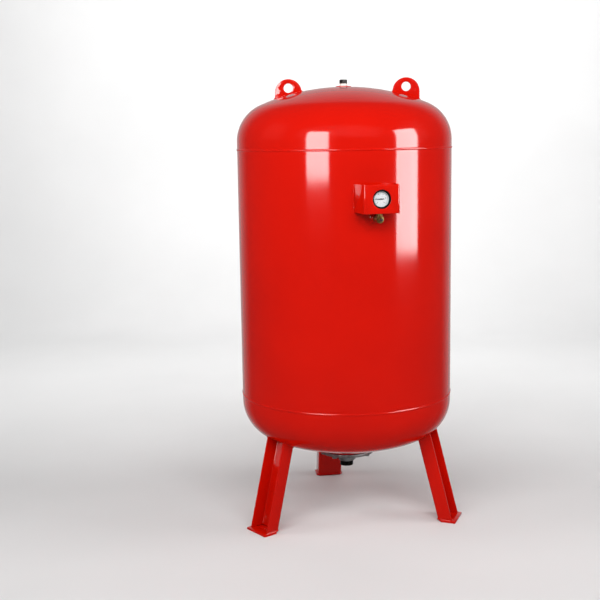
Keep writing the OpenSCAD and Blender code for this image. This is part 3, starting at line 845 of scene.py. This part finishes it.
settle(eased("gauge_case", 0.0008), "pressed_gauge_case", LACQUER, ["gauge_case"])
bezel_front, bezel_back = -bezel_low.y, -bezel_high.y
glass_front, glass_back = -lens_low.y, -lens_high.y
BEZEL_EDGE = 0.0014
centre_r, centre_y = bezel_r - BEZEL_EDGE, bezel_front - BEZEL_EDGE
bezel_outline = [
    (BEZEL_LIP_R, glass_front), (BEZEL_LIP_R, bezel_front - 0.0006),
    (BEZEL_LIP_R + 0.0005, bezel_front),
]
bezel_outline += [(centre_r + BEZEL_EDGE * math.sin(a), centre_y + BEZEL_EDGE * math.cos(a))
                  for a in [math.pi / 12 * i for i in range(7)]]
bezel_outline += [
    (bezel_r, bezel_back + 0.0016), (bezel_r - 0.0009, bezel_back),
    (case_r, bezel_back), (case_r, glass_front),
]
bezel = gauge_turned(bezel_outline)
settle(bezel, "crimped_bezel", LACQUER, ["gauge_bezel"])
glass_r = case_r - 0.0001
glass_outline = [
    (0, glass_back), (glass_r, glass_back), (glass_r, glass_front), (0, glass_front),
]
window = gauge_turned(glass_outline, closed=False)
settle(window, "gauge_window", GLASS, ["gauge_lens"])
dial = eased("gauge_dial", 0.00008, segments=1)
settle(dial, "dial_plate", DIAL, ["gauge_dial"])

# The scale runs 270 degrees round the dial, from 0 at the lower left to 10 at the lower right.
SCALE_START, SCALE_SWEEP = 225, -270
BARS = 10
TICKS_PER_BAR = 5
TICK_R, TRACK_R = 0.0228, 0.0231
NUMERAL_R, NUMERAL_SIZE = 0.0158, 0.0056
INK_T = 0.00006
marks = []
for i in range(BARS * TICKS_PER_BAR + 1):
    length, breadth = (0.0019, 0.00028) if i % TICKS_PER_BAR else (0.0034, 0.0006)
    turn = math.radians(SCALE_START + SCALE_SWEEP * i / (BARS * TICKS_PER_BAR))
    tick = bmesh.new()
    bmesh.ops.create_cube(tick, size=1, matrix=Matrix.Diagonal((length, breadth, INK_T, 1)))
    outwards = Matrix.Translation((TICK_R - length / 2, 0, 0))
    marks.append((tick, Matrix.Rotation(turn, 4, "Z") @ outwards))
track = lathe([
    (TICK_R, -INK_T / 2), (TRACK_R, -INK_T / 2), (TRACK_R, INK_T / 2), (TICK_R, INK_T / 2),
])
half_gap = math.radians(360 + SCALE_SWEEP) / 2
middles = [(face, face.calc_center_median()) for face in track.faces]
lower = [face for face, middle in middles if abs(math.atan2(middle.x, -middle.y)) < half_gap]
bmesh.ops.delete(track, geom=lower, context="FACES")
bmesh.ops.holes_fill(track, edges=[e for e in track.edges if e.is_boundary], sides=4)
marks.append((track, Matrix()))
for bar in range(0, BARS + 1, 2):
    turn = math.radians(SCALE_START + SCALE_SWEEP * bar / BARS)
    words = bpy.data.curves.new("numeral", "FONT")
    words.body = str(bar)
    words.size = NUMERAL_SIZE
    words.align_x = "CENTER"
    words.align_y = "CENTER"
    words.extrude = INK_T / 2
    holder = bpy.data.objects.new("numeral", words)
    bpy.context.scene.collection.objects.link(holder)
    bpy.context.view_layer.update()
    digits = bmesh.new()
    digits.from_mesh(holder.evaluated_get(bpy.context.evaluated_depsgraph_get()).to_mesh())
    bpy.data.objects.remove(holder)
    spot = (NUMERAL_R * math.cos(turn), NUMERAL_R * math.sin(turn), 0)
    marks.append((digits, Matrix.Translation(spot)))
dial_face = Matrix.Translation((0, 0, -dial_low.y + INK_T / 2))
scale = gather([(part, dial_face @ place) for part, place in marks])
bmesh.ops.transform(scale, matrix=to_front, verts=scale.verts)
settle(scale, "printed_scale", INK)

needle = eased("gauge_pointer", 0.0001)
settle(needle, "gauge_needle", INK, ["gauge_pointer"], body="pointer")

# ---- Gauge movement ------------------------------------------------------------------
# Brass works behind the dial: a C-shaped tube uncurls under pressure, its link swings a
# toothed sector, and the sector turns the pointer's pinion.

settle(eased("gauge_stem", 0.0005), "gauge_stem_block", SHADE_DARKENED_BRASS, ["gauge_stem"])
for node, ease, body in (("movement_frame", 0.0001, VESSEL), ("bourdon_tube", 0.0001, VESSEL),
                         ("pinion_arbor", 0.00005, "pointer"), ("sector_gear", 0.00008, "sector"),
                         ("bourdon_link", 0.00008, "link")):
    settle(eased(node, ease, segments=1), f"{node}_brass", SHADE_DARKENED_BRASS, [node], body=body)

# ---- Stage ---------------------------------------------------------------------------
# A pale floor that sweeps up into a backdrop, in a room that is bright behind the vessel
# and dim in front. Two upright panels mirror in the paint, and a wide high one lights it.

VIEW_TURN = math.radians(-15)
stage_turn = Matrix.Rotation(VIEW_TURN, 4, "Z")


def pale_paper():
    # Seamless white studio paper: matt and even.
    material, tree, shader, place = new_material("pale_studio_paper", Roughness=0.9)
    tint(tree, shader, place, "#e0e0e0", "#dcdcdc", 1.0)
    return material


SWEEP_R = 1.6
SWEEP_STEPS = 16
FRONT_Y, BACK_Y = -7.0, 3.2
HALF_W = 7.0
PAPER_TOP = 6.0
sweep = [(FRONT_Y, 0.0), (BACK_Y, 0.0)]
sweep += [(BACK_Y + SWEEP_R * math.sin(a), SWEEP_R - SWEEP_R * math.cos(a))
          for a in [math.pi / 2 * i / SWEEP_STEPS for i in range(1, SWEEP_STEPS + 1)]]
sweep += [(BACK_Y + SWEEP_R, PAPER_TOP)]
bm = bmesh.new()
near = [bm.verts.new((-HALF_W, y, z)) for y, z in sweep]
edges = [bm.edges.new(pair) for pair in zip(near, near[1:])]
drawn = bmesh.ops.extrude_edge_only(bm, edges=edges)["geom"]
far = [g for g in drawn if isinstance(g, bmesh.types.BMVert)]
bmesh.ops.translate(bm, vec=(2 * HALF_W, 0, 0), verts=far)
bmesh.ops.recalc_face_normals(bm, faces=bm.faces)
bmesh.ops.transform(bm, matrix=stage_turn, verts=bm.verts)
paper_mesh = bpy.data.meshes.new("studio_paper")
bm.to_mesh(paper_mesh)
bm.free()
paper_mesh.shade_smooth()
paper_mesh.materials.append(pale_paper())
paper = bpy.data.objects.new("studio_paper", paper_mesh)
bpy.context.scene.collection.objects.link(paper)
paper.visible_glossy = False

world = bpy.data.worlds.new("studio_surround")
bpy.context.scene.world = world
world.use_nodes = True
sky = world.node_tree
background = sky.nodes["Background"]
background.inputs["Color"].default_value = (1, 1, 1, 1)
ROOM_FRONT, ROOM_BACK = 0.07, 0.5
room = add(sky, "ShaderNodeTexCoord")
turned = add(sky, "ShaderNodeVectorRotate", {"Angle": -VIEW_TURN},
             {"Vector": room.outputs["Generated"]}, rotation_type="Z_AXIS")
split = add(sky, "ShaderNodeSeparateXYZ", links={"Vector": turned.outputs["Vector"]})
span = {"From Min": 0.55, "From Max": 1.0, "To Min": ROOM_FRONT, "To Max": ROOM_BACK}
glow = add(sky, "ShaderNodeMapRange", span, {"Value": split.outputs["Y"]},
           interpolation_type="SMOOTHSTEP")
sky.links.new(glow.outputs["Result"], background.inputs["Strength"])


def softbox(name, azimuth, distance, low, high, width, radiance,
            mirrored=False, turned=0, tipped=0):
    """A lit panel that faces the vessel, then turned and tipped down, in degrees. A mirrored
    one is only seen as a reflection, and any other is never seen as one."""
    lamp = bpy.data.lights.new(name, "AREA")
    lamp.shape = "RECTANGLE"
    lamp.size = width
    lamp.size_y = high - low
    lamp.energy = radiance * math.pi * width * (high - low)
    box = bpy.data.objects.new(name, lamp)
    a = math.radians(azimuth) + VIEW_TURN
    spot = Vector((distance * math.cos(a), distance * math.sin(a), (low + high) / 2))
    back = Matrix.Rotation(math.radians(turned), 3, "Z") @ Vector((math.cos(a), math.sin(a), 0))
    back.z = math.tan(math.radians(tipped))
    box.matrix_world = Matrix.Translation(spot) @ back.to_track_quat("Z", "Y").to_matrix().to_4x4()
    box.visible_camera = False
    box.visible_glossy = mirrored
    box.visible_diffuse = not mirrored
    bpy.context.scene.collection.objects.link(box)


softbox("left_softbox", 244, 3.2, 1.09, 2.76, 1.25, 11, mirrored=True)
softbox("right_softbox", 335.5, 3.2, 0.64, 2.7, 1.45, 11, mirrored=True)
softbox("high_key", 266, 3.2, 2.0, 4.0, 6.0, 6.6)
softbox("right_fill", 352, 3.4, 1.6, 3.8, 1.6, 6.0)
softbox("left_fill", 190, 3.4, 1.6, 3.8, 1.6, 3.6)
softbox("backdrop_light", 90, 1.3, 2.4, 3.6, 5.0, 8, turned=180, tipped=20)

CAMERA_REACH = 3.7458
CAMERA_Z = 1.3667
CAMERA_PAN, CAMERA_PITCH, CAMERA_ROLL = 0.0434, -0.1569, -0.0156
camera_data = bpy.data.cameras.new("camera")
camera_data.lens = 63.26
camera_data.sensor_width = 36
camera = bpy.data.objects.new("camera", camera_data)
camera_az = math.radians(270) + VIEW_TURN
stand = (CAMERA_REACH * math.cos(camera_az), CAMERA_REACH * math.sin(camera_az), CAMERA_Z)
camera.matrix_world = (
    Matrix.Translation(stand)
    @ Matrix.Rotation(VIEW_TURN + CAMERA_PAN, 4, "Z")
    @ Matrix.Rotation(math.pi / 2 + CAMERA_PITCH, 4, "X")
    @ Matrix.Rotation(CAMERA_ROLL, 4, "Z")
)
bpy.context.scene.collection.objects.link(camera)
bpy.context.scene.camera = camera
bpy.context.scene.view_settings.view_transform = "Standard"
